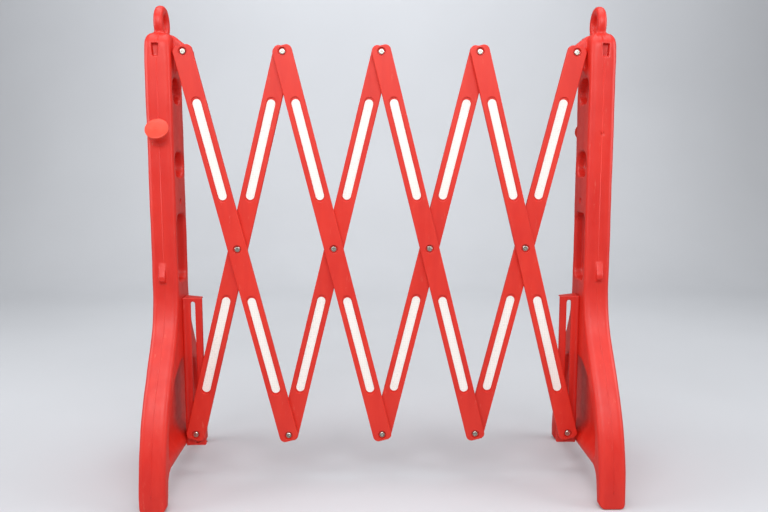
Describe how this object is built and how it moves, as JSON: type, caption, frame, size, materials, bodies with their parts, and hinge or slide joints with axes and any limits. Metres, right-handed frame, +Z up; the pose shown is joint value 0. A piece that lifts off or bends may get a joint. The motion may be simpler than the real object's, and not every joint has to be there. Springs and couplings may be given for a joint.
{
  "type": "expanding lattice barrier",
  "caption": "Expanding traffic barrier: a scissor lattice of reflective plastic slats that opens and closes between two hollow flared posts with rings on top.",
  "frame": {"origin": "on the floor, midway between the two posts and midway between their front and rear feet, with the lattice at its drawn opening", "axes": "+X right along the lattice, -Y towards the front with the left post's filler cap, +Z up"},
  "size_m": [0.9202, 0.4, 0.96],
  "materials": {
    "red_plastic": "semi-gloss moulded polyethylene",
    "cap_plastic": "semi-gloss orange-red plastic",
    "reflective_film": "white retroreflective film",
    "zinc_steel": "bright zinc plate",
    "nylon": "natural nylon",
    "seal_rubber": "matte"
  },
  "bodies": {
    "left_post": {"left_post_shell": "red_plastic", "left_slide_guide": "red_plastic", "left_guide_screws": "zinc_steel", "left_top_bolt": "zinc_steel", "left_top_nut": "zinc_steel", "left_top_spacer": "nylon"},
    "slat_a1": {"slat_a1": "red_plastic", "reflectors_a1": "reflective_film", "bolts_a1": "zinc_steel", "nuts_a1": "zinc_steel", "washers_a1": "nylon"},
    "slat_b1": {"slat_b1": "red_plastic", "reflectors_b1": "reflective_film", "bolts_b1": "zinc_steel", "nuts_b1": "zinc_steel", "washers_b1": "nylon", "left_slide_roller": "nylon"},
    "slat_a2": {"slat_a2": "red_plastic", "reflectors_a2": "reflective_film", "bolts_a2": "zinc_steel", "nuts_a2": "zinc_steel", "washers_a2": "nylon"},
    "slat_b2": {"slat_b2": "red_plastic", "reflectors_b2": "reflective_film", "bolts_b2": "zinc_steel", "nuts_b2": "zinc_steel", "washers_b2": "nylon"},
    "slat_a3": {"slat_a3": "red_plastic", "reflectors_a3": "reflective_film", "bolts_a3": "zinc_steel", "nuts_a3": "zinc_steel", "washers_a3": "nylon"},
    "slat_b3": {"slat_b3": "red_plastic", "reflectors_b3": "reflective_film", "bolts_b3": "zinc_steel", "nuts_b3": "zinc_steel", "washers_b3": "nylon"},
    "slat_a4": {"slat_a4": "red_plastic", "reflectors_a4": "reflective_film", "bolts_a4": "zinc_steel", "nuts_a4": "zinc_steel", "washers_a4": "nylon", "right_slide_roller": "nylon", "right_slide_spacer": "nylon"},
    "slat_b4": {"slat_b4": "red_plastic", "reflectors_b4": "reflective_film"},
    "right_post": {"right_post_shell": "red_plastic", "right_slide_guide": "red_plastic", "right_guide_screws": "zinc_steel", "right_top_bolt": "zinc_steel", "right_top_nut": "zinc_steel", "right_top_washer": "nylon"},
    "left_cap": {"left_filler_cap": "cap_plastic", "left_cap_seal": "seal_rubber"},
    "right_cap": {"right_filler_cap": "cap_plastic", "right_cap_seal": "seal_rubber"}
  },
  "joints": [
    {"name": "spread", "type": "hinge", "parent": "left_post", "child": "slat_a1", "pos_m": [-0.38708, -0.0275, 0.868], "axis": [0, -1, 0], "range_deg": [-6, 34]},
    {"name": "cross_1", "type": "hinge", "parent": "slat_a1", "child": "slat_b1", "pos_m": [-0.29031, -0.0275, 0.47988], "axis": [0, -1, 0], "range_deg": [-68.5, 12.5]},
    {"name": "top_1", "type": "hinge", "parent": "slat_b1", "child": "slat_a2", "pos_m": [-0.19354, -0.0275, 0.868], "axis": [0, -1, 0], "range_deg": [-12.5, 68.5]},
    {"name": "cross_2", "type": "hinge", "parent": "slat_a2", "child": "slat_b2", "pos_m": [-0.09677, -0.0275, 0.47988], "axis": [0, -1, 0], "range_deg": [-68.5, 12.5]},
    {"name": "top_2", "type": "hinge", "parent": "slat_b2", "child": "slat_a3", "pos_m": [0, -0.0275, 0.868], "axis": [0, -1, 0], "range_deg": [-12.5, 68.5]},
    {"name": "cross_3", "type": "hinge", "parent": "slat_a3", "child": "slat_b3", "pos_m": [0.09677, -0.0275, 0.47988], "axis": [0, -1, 0], "range_deg": [-68.5, 12.5]},
    {"name": "top_3", "type": "hinge", "parent": "slat_b3", "child": "slat_a4", "pos_m": [0.19354, -0.0275, 0.868], "axis": [0, -1, 0], "range_deg": [-12.5, 68.5]},
    {"name": "cross_4", "type": "hinge", "parent": "slat_a4", "child": "slat_b4", "pos_m": [0.29031, -0.0275, 0.47988], "axis": [0, -1, 0], "range_deg": [-68.5, 12.5]},
    {"name": "right_post_pivot", "type": "hinge", "parent": "slat_b4", "child": "right_post", "pos_m": [0.38708, -0.0275, 0.868], "axis": [0, -1, 0], "range_deg": [-6.5, 34.5]},
    {"name": "left_cap_pull", "type": "slide", "parent": "left_post", "child": "left_cap", "axis": [0, -0.848, 0.5299], "range_m": [0, 0.04]},
    {"name": "right_cap_pull", "type": "slide", "parent": "right_post", "child": "right_cap", "axis": [0, 0.848, 0.5299], "range_m": [0, 0.04]}
  ],
  "couplings": [
    {"joint": "cross_1", "follows": "spread", "ratio": -2},
    {"joint": "top_1", "follows": "spread", "ratio": 2},
    {"joint": "cross_2", "follows": "spread", "ratio": -2},
    {"joint": "top_2", "follows": "spread", "ratio": 2},
    {"joint": "cross_3", "follows": "spread", "ratio": -2},
    {"joint": "top_3", "follows": "spread", "ratio": 2},
    {"joint": "cross_4", "follows": "spread", "ratio": -2},
    {"joint": "right_post_pivot", "follows": "spread", "ratio": 1}
  ]
}
